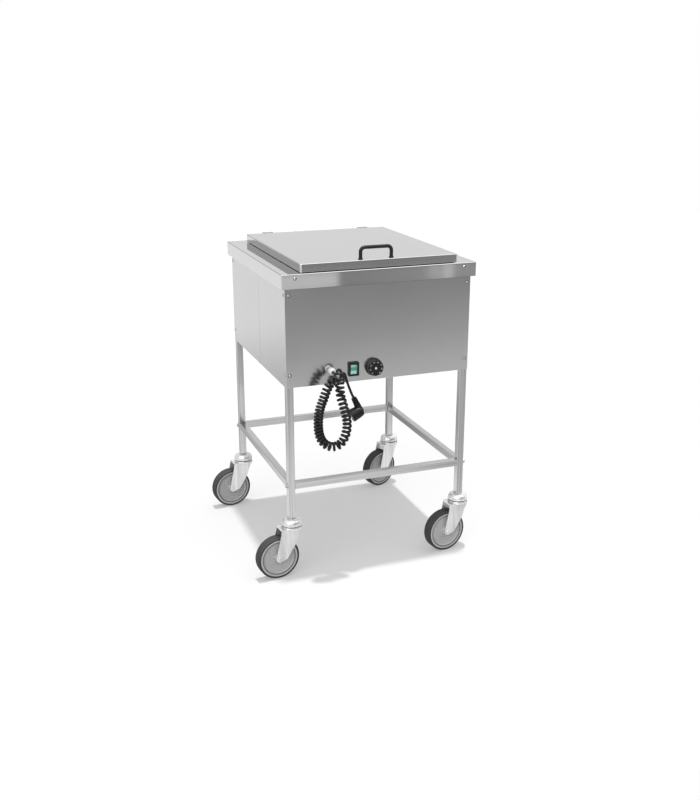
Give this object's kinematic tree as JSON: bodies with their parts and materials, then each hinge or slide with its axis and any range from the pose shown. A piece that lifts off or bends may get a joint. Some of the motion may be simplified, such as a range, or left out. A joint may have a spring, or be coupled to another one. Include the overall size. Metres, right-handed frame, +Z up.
{
  "type": "bain-marie trolley",
  "caption": "Heated bain-marie trolley: a lidded well in a sheet steel housing on a square tube frame with swivel casters, a curly cord, a switch and a thermostat knob.",
  "frame": {"origin": "on the floor under the middle of the deck", "axes": "+X to the right of the side with the controls, +Y to the back where the lid is hinged, +Z up"},
  "size_m": [0.6652, 0.6508, 0.9403],
  "materials": {
    "frame_tube": "satin tube",
    "black_plastic": "satin black",
    "fixing_steel": "plated",
    "deck_sheet": "fine brushed",
    "housing_sheet": "fine brushed",
    "well_sheet": "satin",
    "mineral_wool": "fibrous",
    "element_sheath": "dull",
    "copper": "drawn",
    "inner_plastic": "moulded",
    "green_lens": "translucent green",
    "gland_plastic": "light grey",
    "cord_rubber": "satin black",
    "plug_brass": "nickel plated",
    "lid_sheet": "fine brushed",
    "hinge_steel": "pressed",
    "zinc": "bright zinc",
    "wheel_plastic": "grey moulded",
    "tyre_rubber": "dark grey"
  },
  "bodies": {
    "frame": {"leg_front_left": "frame_tube", "leg_front_right": "frame_tube", "leg_back_left": "frame_tube", "leg_back_right": "frame_tube", "rail_front": "frame_tube", "rail_back": "frame_tube", "rail_left": "frame_tube", "rail_right": "frame_tube", "rail_end_plugs": "black_plastic", "rail_bolts": "fixing_steel", "top_deck": "deck_sheet", "deck_rivets": "fixing_steel", "front_shell": "housing_sheet", "rear_shell": "housing_sheet", "shell_screws": "fixing_steel", "bottom_plate": "housing_sheet", "well": "well_sheet", "insulation": "mineral_wool", "heating_element": "element_sheath", "element_clamps": "element_sheath", "thermostat_sensor": "copper", "thermostat_body": "inner_plastic", "switch_housing": "black_plastic", "terminal_block": "inner_plastic", "wiring_loom": "inner_plastic", "cable_gland": "gland_plastic", "gland_locknut": "gland_plastic", "power_cord": "cord_rubber", "plug_body": "cord_rubber", "plug_pins": "plug_brass", "hinge_brackets": "hinge_steel", "hinge_pins": "fixing_steel", "hinge_screws": "fixing_steel", "cap_front_left": "zinc", "cap_front_right": "zinc", "cap_back_left": "zinc", "cap_back_right": "zinc"},
    "lid": {"lid": "lid_sheet", "lid_handle": "black_plastic", "handle_screws": "fixing_steel", "hinge_leaves": "hinge_steel"},
    "knob": {"thermostat_knob": "black_plastic", "thermostat_spindle": "fixing_steel"},
    "rocker": {"switch_rocker": "green_lens"},
    "swivel_front_left": {"fork_front_left": "zinc", "axle_front_left": "fixing_steel"},
    "roller_front_left": {"wheel_front_left": "wheel_plastic", "tyre_front_left": "tyre_rubber"},
    "swivel_front_right": {"fork_front_right": "zinc", "axle_front_right": "fixing_steel"},
    "roller_front_right": {"wheel_front_right": "wheel_plastic", "tyre_front_right": "tyre_rubber"},
    "swivel_back_left": {"fork_back_left": "zinc", "axle_back_left": "fixing_steel"},
    "roller_back_left": {"wheel_back_left": "wheel_plastic", "tyre_back_left": "tyre_rubber"},
    "swivel_back_right": {"fork_back_right": "zinc", "axle_back_right": "fixing_steel"},
    "roller_back_right": {"wheel_back_right": "wheel_plastic", "tyre_back_right": "tyre_rubber"}
  },
  "joints": [
    {"name": "lid_hinge", "type": "hinge", "parent": "frame", "child": "lid", "pos_m": [0, 0.271, 0.9008], "axis": [-1, 0, 0], "range_deg": [0, 105]},
    {"name": "knob_turn", "type": "hinge", "parent": "frame", "child": "knob", "pos_m": [-0.018, -0.29, 0.602], "axis": [0, 1, 0], "range_deg": [0, 300]},
    {"name": "rocker_tilt", "type": "hinge", "parent": "frame", "child": "rocker", "pos_m": [-0.079, -0.288, 0.602], "axis": [1, 0, 0], "range_deg": [-16, 0]},
    {"name": "caster_swivel_front_left", "type": "hinge", "parent": "frame", "child": "swivel_front_left", "pos_m": [-0.263, -0.273, 0.12], "axis": [0, 0, 1], "continuous": true},
    {"name": "wheel_spin_front_left", "type": "hinge", "parent": "swivel_front_left", "child": "roller_front_left", "pos_m": [-0.30875, -0.27781, 0.0625], "axis": [-0.1045, 0.9945, 0], "continuous": true},
    {"name": "caster_swivel_front_right", "type": "hinge", "parent": "frame", "child": "swivel_front_right", "pos_m": [0.263, -0.273, 0.12], "axis": [0, 0, 1], "continuous": true},
    {"name": "wheel_spin_front_right", "type": "hinge", "parent": "swivel_front_right", "child": "roller_front_right", "pos_m": [0.21745, -0.2794, 0.0625], "axis": [-0.1392, 0.9903, 0], "continuous": true},
    {"name": "caster_swivel_back_left", "type": "hinge", "parent": "frame", "child": "swivel_back_left", "pos_m": [-0.263, 0.273, 0.12], "axis": [0, 0, 1], "continuous": true},
    {"name": "wheel_spin_back_left", "type": "hinge", "parent": "swivel_back_left", "child": "roller_back_left", "pos_m": [-0.30875, 0.26819, 0.0625], "axis": [-0.1045, 0.9945, 0], "continuous": true},
    {"name": "caster_swivel_back_right", "type": "hinge", "parent": "frame", "child": "swivel_back_right", "pos_m": [0.263, 0.273, 0.12], "axis": [0, 0, 1], "continuous": true},
    {"name": "wheel_spin_back_right", "type": "hinge", "parent": "swivel_back_right", "child": "roller_back_right", "pos_m": [0.21977, 0.25727, 0.0625], "axis": [-0.342, 0.9397, 0], "continuous": true}
  ]
}
